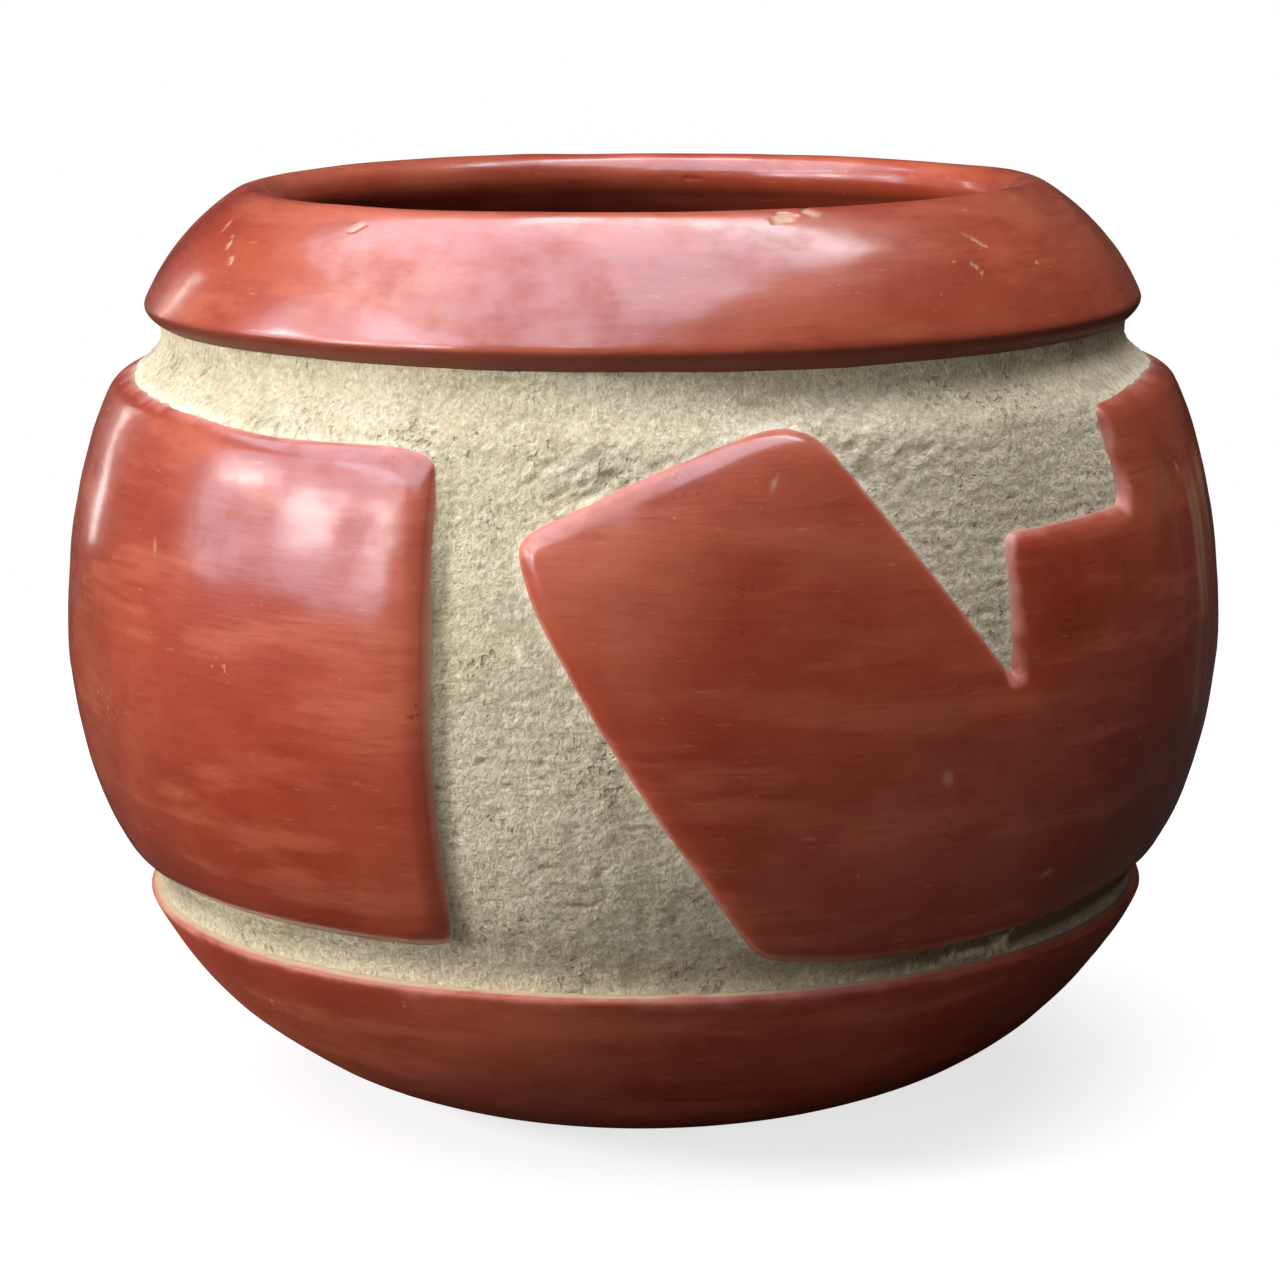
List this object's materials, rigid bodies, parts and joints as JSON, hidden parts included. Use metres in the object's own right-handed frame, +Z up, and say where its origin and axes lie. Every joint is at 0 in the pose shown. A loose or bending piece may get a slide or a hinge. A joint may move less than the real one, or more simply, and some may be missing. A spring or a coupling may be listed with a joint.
{
  "type": "clay olla",
  "caption": "Round hand-built clay storage pot with a rounded base, wide collared mouth and raised burnished geometric panels on a rough scraped wall.",
  "frame": {"origin": "centre of the flat foot, on the surface that the pot stands on", "axes": "+Z up along the pot's axis; -Y is the side the picture shows; +X is to the right in it"},
  "size_m": [0.396, 0.396, 0.3105],
  "materials": {
    "red_slip": "stone-burnished red clay slip, satin to semi-gloss, with fine horizontal burnishing strokes",
    "scraped_clay": "bare scraped buff clay, matte and gritty"
  },
  "bodies": {
    "root": {"base_bowl": "red_slip", "wall_coil_1": "scraped_clay", "wall_coil_2": "scraped_clay", "wall_coil_3": "scraped_clay", "wall_coil_4": "scraped_clay", "wall_coil_5": "scraped_clay", "rim_collar": "red_slip", "mouth_lip": "red_slip", "front_relief_panel": "red_slip", "back_relief_panel": "red_slip"}
  },
  "joints": []
}
